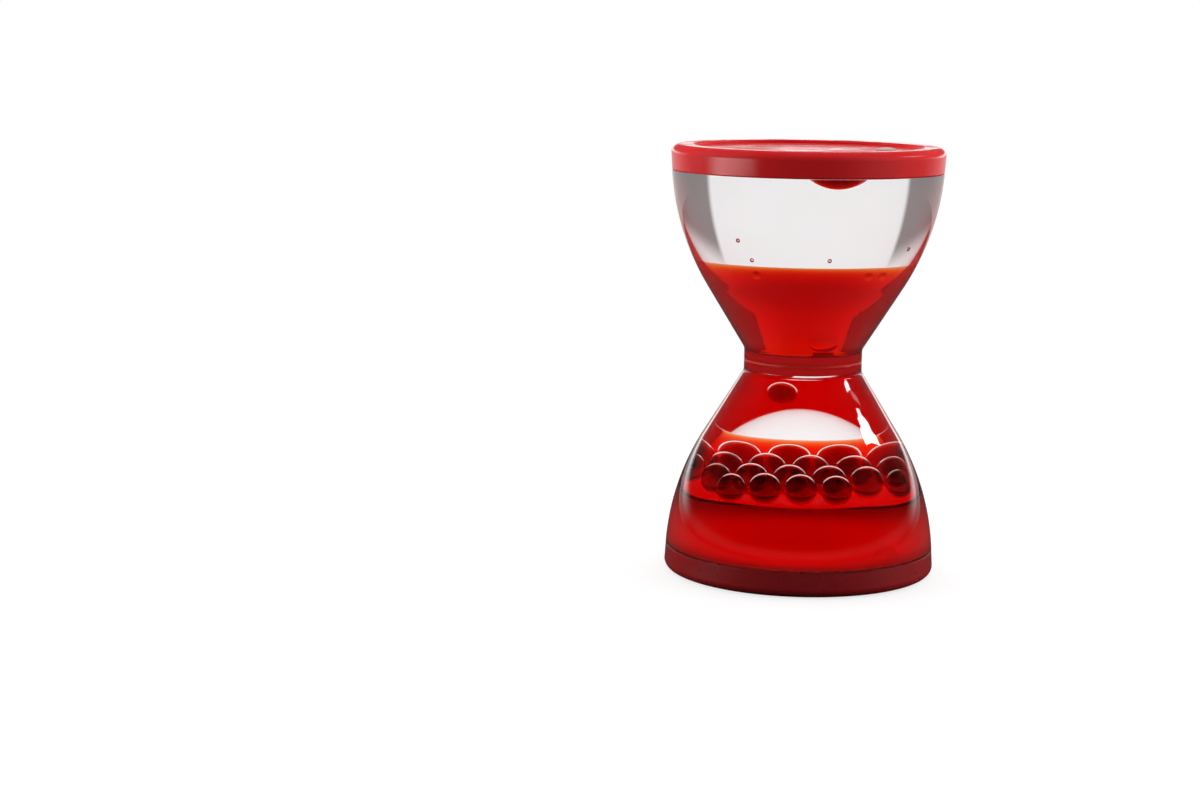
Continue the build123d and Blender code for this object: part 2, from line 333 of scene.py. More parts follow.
# %% [markdown]
# ### The two liquids
#
# The clear one is a light mineral oil, index about 1.46. The red one is water with a good deal of
# glycol and dye, and its colour comes from depth: dye takes blue first, then green, and lets red
# through, so a thin film looks orange and a full bowl deep red. A red surface could not do that,
# so the dye is an absorption volume. A liquid that lies inside another one uses the ratio of the
# two indices: close to one for the layers, and a little lower for the drops, so that their rims
# stay easy to see at this size. The upper red is paler, because fine oil drops rise through it.
# The drops carry three times the dye, so that a few millimetres look as deep as a layer.

# %% Oil, dyed water, and drops of each
streak_size = 11.0


def liquid(name, pale, deep, index, dye=None, strength=1.0):
    """Clear liquid with faint streaks of tint, as where two liquids have been shaken together.

    A dye is the part of red, green and blue that each millimetre takes, at a strength of 1: light
    falls by exp(-part * strength * path). The node wants what is left, and a strength per metre.
    """
    material, tree, output, place = new_finish(name)
    streak = add(tree, NOISE, {"Vector": place, "Scale": per_mm(streak_size), "Detail": 2.0,
                               "Distortion": 0.6})
    tint = add(tree, MIX, COLOURS | {0: streak.outputs["Fac"], 6: linear(pale), 7: linear(deep)})
    shader = add(tree, PRINCIPLED, {
        "Base Color": tint.outputs[2],
        "Roughness": 0.0,
        "IOR": index,
        "Transmission Weight": 1.0,
        "Specular Tint": no_light,
    })
    tree.links.new(shader.outputs["BSDF"], output.inputs["Surface"])
    if dye:
        left = (*(1.0 - part for part in dye), 1.0)
        volume = add(tree, "ShaderNodeVolumeAbsorption", {"Color": left, "Density": strength / MM})
        tree.links.new(volume.outputs["Volume"], output.inputs["Volume"])
    return material


upper_dye, lower_dye, drop_dye = (0.022, 0.25, 0.5), (0.012, 0.55, 1.0), (0.08, 0.55, 1.0)
drop_strength = 3.0
oil_index = 1.46
layer_ratio = 0.99
drop_ratio = 0.95
print("air in oil has the ratio", round(1 / oil_index, 3))

# %% Each liquid, and what it gives the eye
# Oil: an almost colourless lens that turns what stands behind the timer upside down.
clear_oil = liquid("mineral_oil_clear", "FFFFFE", "FBFAF6", oil_index)
# Red layers: orange at the rim of the surface, deep red where the path through them is long.
red_tints = ("FFE2DC", "FFD8D2")
upper_water = liquid("water_glycol_dyed_red_upper", *red_tints, layer_ratio, upper_dye)
lower_water = liquid("water_glycol_dyed_red_lower", *red_tints, layer_ratio, lower_dye)
# Red drops: a dark heart under a bright upper rim.
drop_tints = ("FFC4BC", "FFB4AA")
dyed_drop = liquid("water_glycol_drop_in_oil", *drop_tints, drop_ratio, drop_dye, drop_strength)
# Oil drops and air: pale rings, stronger the more the index changes.
oil_drop = liquid("mineral_oil_drop_in_water", "FFFDFA", "F8F4EE", 1 / drop_ratio)
air_bubble = liquid("air_bubble_in_oil", "FFFFFF", "F4F6F8", 1 / oil_index)
print("finishes:", clear_oil.name, upper_water.name, lower_water.name)
print("finishes of drops:", dyed_drop.name, oil_drop.name, air_bubble.name)

# %% [markdown]
# ## Bowls
#
# A bowl is one moulding: a short collar, a cone, a shoulder that runs out at the mouth, and a thin
# rib that finds the groove of the cap. A Screw modifier could turn its outline about the axis.
# Turning it as an array leaves room for extra columns of points, which carry the fine ridge that
# the parting line of the mould leaves on the outside, and the shallow knit line where two fronts
# of melt met.

# %% Walls and corners of a bowl
grid_step = 0.6
bite = 0.05
lip = 0.4
wall_rows = 64
above_knee, below_mouth = 1.5, 0.6
collar_round, mouth_round, knee_round, rib_round, corner_round = 0.15, 0.04, 0.8, 0.1, 0.05
rib_steps = 4
edge = bowl_height + bite
rib_top = edge + tongue_height
rib_middle = (mouth_radius + mouth_inner) / 2
rib_outer, rib_inner = rib_middle + tongue_width / 2, rib_middle - tongue_width / 2
inner_knee = collar_height + wall / math.sin(cone_angle) - wall / math.tan(cone_angle)
climb = np.linspace(collar_height + above_knee, bowl_height - below_mouth, wall_rows)
fall = np.linspace(bowl_height - below_mouth, inner_knee + above_knee, wall_rows)
outer_wall = np.column_stack([wall_radius(climb, 0.0), climb])
inner_wall = np.column_stack([wall_radius(fall, wall), fall])
print("inner knee", round(inner_knee, 2), "mm over the neck plane")

# %% Outline of a bowl, from the collar up the outside and back down the inside
collar = rounded([
    (neck_radius - lip, weld_half),
    (neck_radius, weld_half),
    (neck_radius, collar_height),
    outer_wall[0],
], (collar_round, neck_fillet))
mouth = rounded([
    outer_wall[-1],
    (mouth_radius, edge),
    (mouth_radius - lip, edge),
], (mouth_round,))
rib = rounded([
    (mouth_radius - lip, edge),
    (rib_outer, edge),
    (rib_outer, rib_top),
    (rib_inner, rib_top),
    (rib_inner, edge),
    (mouth_inner, edge),
    inner_wall[0],
], (corner_round, rib_round, rib_round, corner_round, corner_round), rib_steps)
seat = rounded([
    inner_wall[-1],
    (neck_bore, inner_knee),
    (neck_bore, plate_half),
    (seat_radius, plate_half),
    (seat_radius, weld_half),
    (neck_radius - lip, weld_half),
], (knee_round, corner_round, corner_round, corner_round))
outside = evenly(np.vstack([collar[:-1], outer_wall[:-1], mouth]), grid_step)
inside = evenly(np.vstack([rib[1:-1], inner_wall[:-1], seat[:-1]]), grid_step)
bowl_outline = np.vstack([outside, inside])
print("bowl outline of", len(bowl_outline), "points")

# %% Columns of the bowl, the ridge at its parting line and a knit line
line_azimuths = np.radians([-105.4, -53.0])
line_heights = np.array([0.03, -0.02])
line_width = 0.2
bowl_columns = 300
beside = np.radians([0.12, 0.3, 0.5, 0.75, 1.05, 1.5])
columns = np.concatenate([
    np.linspace(-math.pi, math.pi, bowl_columns, endpoint=False),
    (line_azimuths[:, None] + np.concatenate([-beside, [0.0], beside])).ravel(),
])
columns = np.unique(np.round(columns, 6))
# Each line is a bell across its width: height * exp(-(arc / width)^2), on the outside only.
away = (columns[:, None] - line_azimuths + math.pi) % (2 * math.pi) - math.pi
arc = bowl_outline[:, :1, None] * away[None]
ridge = (line_heights * np.exp(-((arc / line_width) ** 2))).sum(-1)
ridge[len(outside):] = 0.0
print(len(columns), "columns, ridge up to", round(float(ridge.max()), 3), "mm")

# %% Both bowls
wetted = (np.arange(len(bowl_outline)) >= len(outside) - 1).astype(np.int32)
bowl_zones = np.repeat(wetted, len(columns))
bowl_points, bowl_faces = skin(turned(bowl_outline, columns, ridge))
for half, place in (("upper", in_upper), ("lower", in_lower)):
    piece(f"{half}_bowl_moulding", [(place(bowl_points), bowl_faces)], "timer",
          [f"{half}_bowl"], [dry_polystyrene, wet_polystyrene], bowl_zones)

# %% [markdown]
# ## Liquids
#
# Two separate layers could be stacked, but oil wets plastic better than water does: a film of oil
# stays between the red liquid and the wall. So the oil of a bowl is one skin that fills it, and
# the red liquid lies inside that skin and only needs the ratio of the two indices. Its surface
# bends at the wall in a small meniscus, and that bend draws the line round the level. The oil
# reaches a tenth of a millimetre into the plastic, so that a ray always enters the next medium
# before it leaves the last one.

# %% Surfaces and skins of the liquids
soak = 0.1
overlap = 0.05
film = 0.03
upper_level = 20.1
lower_level = 24.7
meniscus = 0.25
meniscus_reach = 0.6
surface_rings, surface_crowding = 60, 2.2
wall_rings = 90
around_liquid = np.linspace(-math.pi, math.pi, 288, endpoint=False)


def liquid_wall(height, inside):
    """Radius of a liquid at a height: the inner wall, or the straight bore of the neck below."""
    return np.maximum(neck_bore + soak - inside, wall_radius(height, wall - soak + inside))


def level_surface(level, bend, inside):
    """Radii and heights across a surface: level + bend * exp(-(R - r) / reach), R at the wall."""
    rim = float(liquid_wall(np.array(level + bend), inside))
    radius = rim * (1 - np.linspace(1.0, 0.0, surface_rings)[:-1] ** surface_crowding)[1:]
    radius = np.append(radius, rim)
    return np.column_stack([radius, level + bend * np.exp((radius - rim) / meniscus_reach)])


def layer(low, high, inside):
    """Closed skin from the surface low, out to the wall, up it, and back over the surface high."""
    bottom, top = low[-1, 1], high[-1, 1]
    between = np.linspace(bottom, top, wall_rings)[1:-1]
    rise = np.concatenate([[bottom + arc_guard], between, [top - arc_guard]])
    outline = np.vstack([low, np.column_stack([liquid_wall(rise, inside), rise]), high[::-1]])
    rings = turned(outline, around_liquid)
    return skin(rings, (0.0, 0.0, low[0, 1]), (0.0, 0.0, high[0, 1]))


upper_surface = level_surface(upper_level, -meniscus, film)
lower_surface = level_surface(lower_level, meniscus, film)
print("upper red surface of radius", upper_surface[-1, 0].round(2), "mm")
print("lower red surface of radius", lower_surface[-1, 0].round(2), "mm")

# %% Oil and red layers
oil_floor = level_surface(plate_half - overlap, 0.0, 0.0)
oil_roof = level_surface(bowl_height + overlap, 0.0, 0.0)
red_floor = level_surface(plate_half - overlap / 2, 0.0, film)
red_roof = level_surface(bowl_height + overlap / 2, 0.0, film)
oil_points, oil_faces = layer(oil_floor, oil_roof, 0.0)
red_layers = (
    ("upper", in_upper, layer(red_floor, upper_surface, film), upper_water),
    ("lower", in_lower, layer(lower_surface, red_roof, film), lower_water),
)
for half, place, (red_points, red_faces), dyed in red_layers:
    piece(f"{half}_clear_oil", [(place(oil_points), oil_faces)], "timer",
          [f"{half}_clear_liquid"], [clear_oil])
    piece(f"{half}_red_water", [(place(red_points), red_faces)], "timer",
          [f"{half}_red_liquid"], [dyed])

# %% [markdown]
# ## Drops
#
# Small drops are round because surface tension wins; the ones that rest on the red surface sag a
# little. Metaballs could draw them, but would melt them into each other. So a drop is a turned
# skin from its lowest to its highest point, and a dome that clings to a cap is the part of a ball
# over its base. All sit where the CAD model has them, and the falling and the rising drop ride on
# bodies of their own.

# %% Balls and domes
around_drop = np.linspace(-math.pi, math.pi, 48, endpoint=False)
ball_rows, dome_rows = 30, 26


def ball(centre, radius, sag=0.0):
    """Drop: r = R cos t, z = R sin t (1 - sag), the lower half sagging twice as much."""
    t = np.linspace(-math.pi / 2, math.pi / 2, ball_rows)[1:-1]
    flat = 1 - sag * np.where(t < 0, 1.0, 0.5)
    outline = np.column_stack([radius * np.cos(t), radius * np.sin(t) * flat])
    bottom, top = (0, 0, -radius * (1 - sag)), (0, 0, radius * (1 - sag / 2))
    points, faces = skin(turned(outline, around_drop), bottom, top)
    return points + np.array(centre), faces


def dome(centre, base, height, hangs):
    """Part of a ball of radius (base^2 + height^2) / (2 height), its base sunk into the cap."""
    big = (base**2 + height**2) / (2 * height)
    t = np.linspace(math.asin(min(1.0, base / big)), 0.0, dome_rows)[:-1]
    crown = np.column_stack([big * np.sin(t), height - big + big * np.cos(t)])
    outline = np.vstack([[(base * 0.5, -bite), (base, -bite)], crown])
    points, faces = skin(turned(outline, around_drop), (0, 0, -bite), (0, 0, height))
    return points * (half_turn if hangs else 1.0) + np.array(centre), faces


print("a drop has", (ball_rows - 1) * len(around_drop), "faces")

# %% Raft of red drops on the lower red surface
raft_radius = 2.7
raft_spacing = 0.3
raft_lift = 0.4
raft_sag, raft_shrink = 0.08, 0.05
raft_rows = 8.2 - 6.1 * np.arange(4)
raft_shifts = np.array([-1.2, 1.4, -1.45, 0.1])
raft_columns = np.arange(-5, 6)
raft_edge, raft_edge_angle = 12.5, math.radians(30.0)
raft_wall = float(wall_radius(np.array(lower_level - raft_lift - raft_radius), wall))
raft_room = raft_wall - raft_radius - raft_spacing
raft_x = (raft_shifts[:, None] + raft_columns * (2 * raft_radius + raft_spacing)).ravel()
raft_y = np.repeat(raft_rows, len(raft_columns))
from_edge = raft_y * math.cos(raft_edge_angle) - raft_x * math.sin(raft_edge_angle) + raft_edge
kept = (from_edge > 0) & (np.hypot(raft_x, raft_y) < raft_room)
raft_z = np.full(kept.sum(), neck_z - lower_level + raft_lift)
raft = np.column_stack([raft_x[kept], raft_y[kept], raft_z])
# No two drops are quite alike: a wave over the raft makes each up to five percent smaller.
swell = 1.0 - raft_shrink * (0.5 + 0.5 * np.sin(12.9 * raft[:, 0] + 7.3 * raft[:, 1]))
raft_drops = [ball(centre, raft_radius * s, raft_sag) for centre, s in zip(raft, swell)]
piece("raft_of_red_drops", raft_drops, "timer", ["settled_red_drops"], [dyed_drop])
print(len(raft), "drops in the raft")

# %% Drops that cling and travel
hanging_radius, hanging_height = 4.6, 2.3
sitting_radius, sitting_height = 2.5, 2.2
falling_radius, rising_radius, travel_sag = 2.15, 2.0, 0.03


def solid_middle(node):
    """Middle of a solid's box in millimetres."""
    low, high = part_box(node)
    return (np.array(low) + np.array(high)) / (2 * MM)


hang_x, hang_y, _ = solid_middle("clinging_red_drop")
hang_base = (hang_x, hang_y, neck_z + bowl_height)
hanging = dome(hang_base, hanging_radius, hanging_height, True)
sit_x, sit_y, _ = solid_middle("clinging_clear_drop")
sit_base = (sit_x, sit_y, neck_z - bowl_height)
sitting = dome(sit_base, sitting_radius, sitting_height, False)
falling = ball(solid_middle("falling_red_drop"), falling_radius, travel_sag)
rising = ball(solid_middle("rising_clear_drop"), rising_radius, travel_sag)
piece("hanging_red_drop", [hanging], "timer", ["clinging_red_drop"], [dyed_drop])
piece("sitting_clear_drop", [sitting], "timer", ["clinging_clear_drop"],
      [oil_drop])
piece("falling_drop_of_red", [falling], "falling_drop", ["falling_red_drop"],
      [dyed_drop])
piece("rising_drop_of_oil", [rising], "rising_drop", ["rising_clear_drop"],
      [oil_drop])

# %% Oil beads and air bubbles at the wall
wall_gap = 0.25
bead_radius, bead_depth = 0.8, 1.7
bead_azimuths = (-119.0, -52.0, -41.5)
bubble_radius = 0.4
bubble_places = ((-125.0, 4.5), (-119.0, 1.0), (-78.0, 1.3), (-30.0, 3.1))


def at_wall(azimuth, height, radius):
    """A ball that lies against the inner wall at a height over the neck plane."""
    reach = float(wall_radius(np.array(height - radius), wall)) - radius - wall_gap
    turn = math.radians(azimuth)
    return ball((reach * math.cos(turn), reach * math.sin(turn), neck_z + height), radius)


beads = [at_wall(azimuth, upper_level - bead_depth, bead_radius) for azimuth in bead_azimuths]
bubbles = [at_wall(azimuth, upper_level + lift, bubble_radius) for azimuth, lift in bubble_places]
piece("waiting_clear_beads", beads, "timer", ["risen_clear_drops"], [oil_drop])
piece("wall_air_bubbles", bubbles, "timer", ["wall_bubbles"], [air_bubble])

# %% [markdown]
# ## Caps and plate
#
# The shapes of the caps, the plate, the plug and the hidden rings are right in the CAD model, so
# those nodes stay and get the finish of the real thing. The caps are moulded in glossy red ABS. A
# mould face that has been used for a while leaves a faint orange peel about a millimetre across,
# which breaks up the edge of a highlight. The face inside a bowl is painted a brighter red, as
# painted light that makes the red liquid in front of it look lit, and liquid takes its gloss away.
# A second material on that face would need a cut in the mesh, so a mask tells it apart by its
# place: nearer to the axis than the bowl's mouth, and nearer to the neck plane than the outer face.
# The lower cap is painted a darker red: painted shade, because it lies in shade.

# %% Mask of a cap's inner face
inner_radius, radius_blend = 24.0, 0.4
inner_height, height_blend = 37.0, 0.5


def inner_face(tree, place):
    """1 where both sqrt(x^2 + y^2) and the distance to the neck plane are small, else 0."""
    spot = add(tree, SEPARATE, {0: place}).outputs
    flat = add(tree, "ShaderNodeCombineXYZ", {0: spot["X"], 1: spot["Y"]}).outputs[0]
    radius = add(tree, VECTOR, {"operation": "LENGTH", 0: flat}).outputs["Value"]
    within = add(tree, MAP, {"Value": radius, "From Min": inner_radius * MM,
                             "From Max": (inner_radius + radius_blend) * MM,
                             "To Min": 1.0, "To Max": 0.0}).outputs["Result"]
    centred = add(tree, MATH, {"operation": "SUBTRACT", 0: spot["Z"], 1: neck_z * MM}).outputs[0]
    height = add(tree, MATH, {"operation": "ABSOLUTE", 0: centred}).outputs[0]
    near = add(tree, MAP, {"Value": height, "From Min": inner_height * MM,
                           "From Max": (inner_height + height_blend) * MM,
                           "To Min": 1.0, "To Max": 0.0}).outputs["Result"]
    return add(tree, MATH, {"operation": "MULTIPLY", 0: within, 1: near}).outputs[0]


print("inner face within", inner_radius, "mm of the axis")

# %% Moulded red ABS
drift_size, patch_size, peel_size, peel_height = 16.0, 7.0, 1.1, 0.04
peel_strength, inner_peel_strength, inner_rough = 0.3, 0.03, 0.8


def red_abs(name, body_code, worn_code, painted_light_inner_code, rough_low, rough_high, gloss):
    """Glossy moulding: tint drift, peel bump, rough patches, a matt inside with painted light in
    its red.
    """
    material, tree, output, place = new_finish(name)
    drift = add(tree, NOISE, {"Vector": place, "Scale": per_mm(drift_size), "Detail": 3.0})
    body = add(tree, MIX, COLOURS | {0: drift.outputs["Fac"], 6: linear(body_code),
                                     7: linear(worn_code)})
    inner = inner_face(tree, place)
    # Painted light: the inner face gets a brighter red, so the red liquid in front of it looks lit.
    colour = add(tree, MIX, COLOURS | {0: inner, 6: body.outputs[2], 7: linear(painted_light_inner_code)})
    patch = add(tree, NOISE, {"Vector": place, "Scale": per_mm(patch_size), "Detail": 2.0})
    rough = add(tree, MAP, {"Value": patch.outputs["Fac"], "From Min": 0.35, "From Max": 0.7,
                            "To Min": rough_low, "To Max": rough_high})
    rough = add(tree, MIX, {0: inner, 2: rough.outputs["Result"], 3: inner_rough})
    peel = add(tree, NOISE, {"Vector": place, "Scale": per_mm(peel_size), "Detail": 2.0,
                             "Roughness": 0.55})
    polish = add(tree, MAP, {"Value": inner, "To Min": peel_strength,
                             "To Max": inner_peel_strength})
    bump = add(tree, BUMP, {"Height": peel.outputs["Fac"], "Strength": polish.outputs["Result"],
                            "Distance": peel_height * MM})
    shader = add(tree, PRINCIPLED, {
        "Base Color": colour.outputs[2],
        "Roughness": rough.outputs[0],
        "Normal": bump.outputs["Normal"],
        "IOR": 1.54,
        "Specular IOR Level": gloss,
    })
    tree.links.new(shader.outputs["BSDF"], output.inputs["Surface"])
    return material


# The upper cap: a clean bright red with soft-edged highlights.
cap_abs = red_abs("abs_red_moulded_gloss", "DE1D21", "E62427", "FF2A24", 0.15, 0.26, 0.5)
# The lower cap: the same moulding, duller, and painted a darker red as painted shade.
painted_shade_foot_abs = red_abs("abs_red_moulded_painted_shade", "901317", "9A171B", "FF2A24", 0.2, 0.3, 0.5)
# The plate lies in liquid, so it shows its colour and no gloss.
plate_abs = red_abs("abs_red_moulded_plate", "D81A1E", "E01E22", "D81A1E", 0.25, 0.35, 0.0)
print("finishes:", cap_abs.name, painted_shade_foot_abs.name, plate_abs.name)


# %% [markdown]
# ### Sealant and plug
#
# Cured sealant is clear in a thin film and milky where it is thick. A volume could scatter light
# in it, but on a spot this small a surface that lets half of the light through looks the same. The
# bead where the two collars were welded is painted with the red of the plate behind it: painted
# light, standing for the plate seen through it. The fill plug is soft pale polyethylene.

# %% Sealant and plug
milk_size, plug_drift_size = 1.4, 2.0
# Real trapped bubbles are too fine to show, so they are drawn over half a millimetre across.
dent_size, dent_depth = 0.6, 0.05


def cured_sealant(name, thin, thick):
    """Cured clear sealant: milky where it is thick, with trapped micro bubbles as dents."""
    material, tree, output, place = new_finish(name)
    milk = add(tree, NOISE, {"Vector": place, "Scale": per_mm(milk_size), "Detail": 3.0})
    tint = add(tree, MIX, COLOURS | {0: milk.outputs["Fac"], 6: linear(thin), 7: linear(thick)})
    dents = add(tree, "ShaderNodeTexVoronoi", {"Vector": place, "Scale": per_mm(dent_size)})
    bump = add(tree, BUMP, {"Height": dents.outputs["Distance"], "Strength": 0.2,
                            "Distance": dent_depth * MM})
    shader = add(tree, PRINCIPLED, {
        "Base Color": tint.outputs[2],
        "Roughness": 0.22,
        "Normal": bump.outputs["Normal"],
        "IOR": 1.45,
        "Transmission Weight": 0.45,
    })
    tree.links.new(shader.outputs["BSDF"], output.inputs["Surface"])
    return material


def pale_polyethylene(name):
    """Pale soft moulding: satin, with a slow change of tint."""
    material, tree, output, place = new_finish(name)
    drift = add(tree, NOISE, {"Vector": place, "Scale": per_mm(plug_drift_size), "Detail": 2.0})
    tint = add(tree, MIX, COLOURS | {0: drift.outputs["Fac"], 6: linear("E2DED9"),
                                     7: linear("D3CEC8")})
    shader = add(tree, PRINCIPLED, {
        "Base Color": tint.outputs[2],
        "Roughness": 0.45,
        "IOR": 1.5,
    })
    tree.links.new(shader.outputs["BSDF"], output.inputs["Surface"])
    return material


# Sealant: a pale, slightly glassy spot on the cap.
sealant = cured_sealant("sealant_cured_clear", "F3EEEB", "DED6D2")
# Weld: a thin warm line round the neck, its red painted light from the plate behind it.
weld = cured_sealant("polystyrene_weld_bead", "FF4A30", "F03C28")
# Plug: a soft satin white.
plug_finish = pale_polyethylene("polyethylene_moulded_pale")
print("finishes:", sealant.name, weld.name, plug_finish.name)

# %% Finishes of the nodes that stay
node_finishes = {
    "upper_cap": cap_abs,
    "lower_cap": painted_shade_foot_abs,
    "orifice_plate": plate_abs,
    "fill_plug": plug_finish,
    "upper_cap_sealant": sealant,
    "lower_cap_sealant": sealant,
    "neck_weld_bead": weld,
}
for node, finish in node_finishes.items():
    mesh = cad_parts[node].data
    mesh.materials.clear()
    mesh.materials.append(finish)
print(len(node_finishes), "CAD nodes keep their shape and get a finish")

# %% [markdown]
# ### Blob over the fill port
#
# The port is closed by a plug and a blob of sealant, which was dabbed on and left to set, so it is
# not quite round. It could be a flattened ball, but a turned outline with a lumpy edge shows the
# thin skirt that sealant leaves.

# %% Blob of sealant
port_x = 14.7
port_face = 81.4
blob_radius, blob_height, blob_root, blob_rows = 2.0, 0.44, 0.5, 18
blob_t = np.linspace(0.0, 1.0, blob_rows)[:-1]
blob_r = blob_radius * (1 - blob_t**1.6)
blob_z = blob_height * np.sin(blob_t * math.pi / 2) ** 0.8
in_port = [(0.7, -blob_root), (1.3, -blob_root), (1.4, -bite)]
blob_rings = turned(np.vstack([in_port, np.column_stack([blob_r, blob_z])]), around_drop)
lumpy = 1 + 0.07 * np.cos(2 * around_drop + 0.6) - 0.05 * np.cos(3 * around_drop) - 0.07
blob_rings[len(in_port):, :, :2] *= lumpy[None, :, None]
blob_points, blob_faces = skin(blob_rings, (0, 0, -blob_root), (0, 0, blob_height))
blob_points = blob_points + np.array([port_x, 0.0, port_face])
piece("fill_port_sealant", [(blob_points, blob_faces)], "timer", ["fill_sealant"],
      [sealant])

# %% [markdown]
# ## Stage
#
# A pale table under soft light. A large plane would end in a line at the horizon. So the floor is
# a disc that stays matt and holds the shadow near the timer, and fades to plain white further out,
# where it meets the white surroundings unseen. Matt red plastic would pick up a lot of light from
# a white table, so for rays that carry light from one surface to another the table is dark.

# %% Floor
floor_radius, floor_rows, floor_columns, floor_drop = 0.36, 40, 96, 0.00005
floor_reach = np.linspace(floor_radius / floor_rows, floor_radius, floor_rows)
floor_turn = np.linspace(-math.pi, math.pi, floor_columns, endpoint=False)
floor_rings = turned(np.column_stack([floor_reach, np.zeros(floor_rows)]), floor_turn)
floor_points = np.vstack([floor_rings.reshape(-1, 3), [(0.0, 0.0, 0.0)]])
floor_points = floor_points - [0.0, 0.0, floor_drop]
here = np.arange(floor_columns)
there = (here + 1) % floor_columns
ring = np.arange(floor_rows - 1)[:, None] * floor_columns
wider = ring + floor_columns
middle = np.full(floor_columns, floor_rows * floor_columns)
floor_faces = np.stack([ring + here, wider + here, wider + there, ring + there], axis=-1)
floor_faces = floor_faces.reshape(-1, 4).tolist()
floor_faces += np.stack([middle, here, there], axis=-1).tolist()
floor_mesh = bpy.data.meshes.new("floor")
floor_mesh.from_pydata(floor_points, [], floor_faces)
floor = bpy.data.objects.new("floor", floor_mesh)
bpy.context.scene.collection.objects.link(floor)
print("floor of", len(floor_faces), "faces")

# %% Matt white table
SMOOTH = {"interpolation_type": "SMOOTHSTEP"}
fade_start, fade_end = 0.06, 0.2
near_glow, far_glow = 0.7, 1.0
floor_finish, tree, output, place = new_finish("table_matt_white")
rays = add(tree, RAYS, {}).outputs
seen = add(tree, MATH, {"operation": "MAXIMUM", 0: rays["Is Camera Ray"],
                        1: rays["Is Transmission Ray"]}).outputs[0]
reach = add(tree, VECTOR, {"operation": "LENGTH", 0: place}).outputs["Value"]
far = add(tree, MAP, SMOOTH | {"Value": reach, "From Min": fade_start, "From Max": fade_end})
far = far.outputs["Result"]
glow = add(tree, MAP, {"Value": far, "To Min": near_glow, "To Max": far_glow}).outputs["Result"]
glow = add(tree, MATH, {"operation": "MULTIPLY", 0: glow, 1: seen}).outputs[0]
matt = add(tree, MIX, COLOURS | {0: far, 6: linear("9C9C9C"), 7: no_light}).outputs[2]
matt = add(tree, MIX, COLOURS | {0: seen, 6: linear("3C3C3C"), 7: matt}).outputs[2]
# To the eye it is a white without gloss, on which only the shadow shows.
diffuse = add(tree, "ShaderNodeBsdfDiffuse", {"Color": matt})
white = add(tree, "ShaderNodeEmission", {"Strength": glow})
both = add(tree, "ShaderNodeAddShader", {0: diffuse.outputs[0], 1: white.outputs[0]})
tree.links.new(both.outputs[0], output.inputs["Surface"])
floor_mesh.materials.append(floor_finish)
print("floor fades to white between", fade_start, "and", fade_end, "m")

# %% [markdown]
# ## Light
#
# Clear things are lit by what stands around them, so the surroundings do most of the work. They
# could be built from cards and lamps, but a world that depends on direction is smoother and has no
# edges to hide. It has three parts, one for each way that light reaches the eye: what shows
# through the clear pieces, what falls on matt plastic, and what gloss mirrors. Below, x, y and z
# are the parts of a direction, from -1 to 1, with +y away from the viewer.

# %% Directions of the surroundings
world = bpy.data.worlds.new("white_panels")
bpy.context.scene.world = world
world.use_nodes = True
tree = world.node_tree
tree.nodes.clear()
output = add(tree, "ShaderNodeOutputWorld", {})
rays = add(tree, RAYS, {}).outputs
direction = add(tree, "ShaderNodeTexCoord", {}).outputs["Generated"]
toward = add(tree, SEPARATE, {0: direction})
x, y, z = (toward.outputs[axis] for axis in "XYZ")
RAMP = ("Value", "From Min", "From Max", "To Min", "To Max")


def region(limits):
    """Region of directions: the product of soft ramps (reads, from, to, before, after)."""
    light = 1.0
    for limit in limits:
        ramp = add(tree, MAP, SMOOTH | dict(zip(RAMP, limit))).outputs["Result"]
        light = add(tree, MATH, {"operation": "MULTIPLY", 0: light, 1: ramp}).outputs[0]
    return light


print("world", world.name, "reads the direction of each ray")

# %% [markdown]
# ### What shows through the clear pieces
#
# White panels in front and behind, and at both sides, with a grey gap between them. The bowl
# squeezes the gap into the upright grey bands at its edges. Above it the panels run together into
# a brighter ceiling, which the lower bowl shows as a white arch.

# %% Panels, gaps and ceiling
panel_edge, side_edge, soft_edge = math.radians(30.0), math.radians(72.0), math.radians(3.0)
gap_grey, ceiling_extra = 0.28, 0.8
wide = add(tree, MATH, {"operation": "ABSOLUTE", 0: x}).outputs[0]
deep = add(tree, MATH, {"operation": "ABSOLUTE", 0: y}).outputs[0]
turn = add(tree, MATH, {"operation": "ARCTAN2", 0: wide, 1: deep}).outputs[0]
gap = region([
    (turn, panel_edge, panel_edge + soft_edge, 0.0, 1.0),
    (turn, side_edge, side_edge + soft_edge, 1.0, 0.0),
    (z, -0.2, -0.13, 0.0, 1.0),
    (z, 0.26, 0.42, 1.0, 0.0),
])
panels = add(tree, MAP, {"Value": gap, "To Min": 1.0, "To Max": gap_grey}).outputs["Result"]
ceiling = region([(z, 0.42, 0.75, 0.0, ceiling_extra)])
through = add(tree, MATH, {"operation": "ADD", 0: panels, 1: ceiling}).outputs[0]
print("gap of", round(math.degrees(side_edge - panel_edge)), "degrees at each corner")

# %% [markdown]
# ### What falls on matt plastic
#
# Most light comes from the sides and from behind, little from the viewer, so the caps are bright
# at both ends and dark in the middle. From straight above it is weaker, which keeps the top face
# at a plain level.

# %% Fill light
viewer_fill, side_fill, overhead_share = 0.06, 3.25, 0.25
fill = region([
    (y, -0.85, -0.1, viewer_fill, side_fill),
    (z, 0.3, 0.9, 1.0, overhead_share),
])
print("fill from", viewer_fill, "at the viewer to", side_fill, "at the sides")

# %% [markdown]
# ### What gloss mirrors
#
# The room behind the viewer is dark. Behind the timer it is pale near the horizon, with a bright
# strip that the flat top face picks up, and a low window at the left gives the side of the upper
# cap its soft highlight.

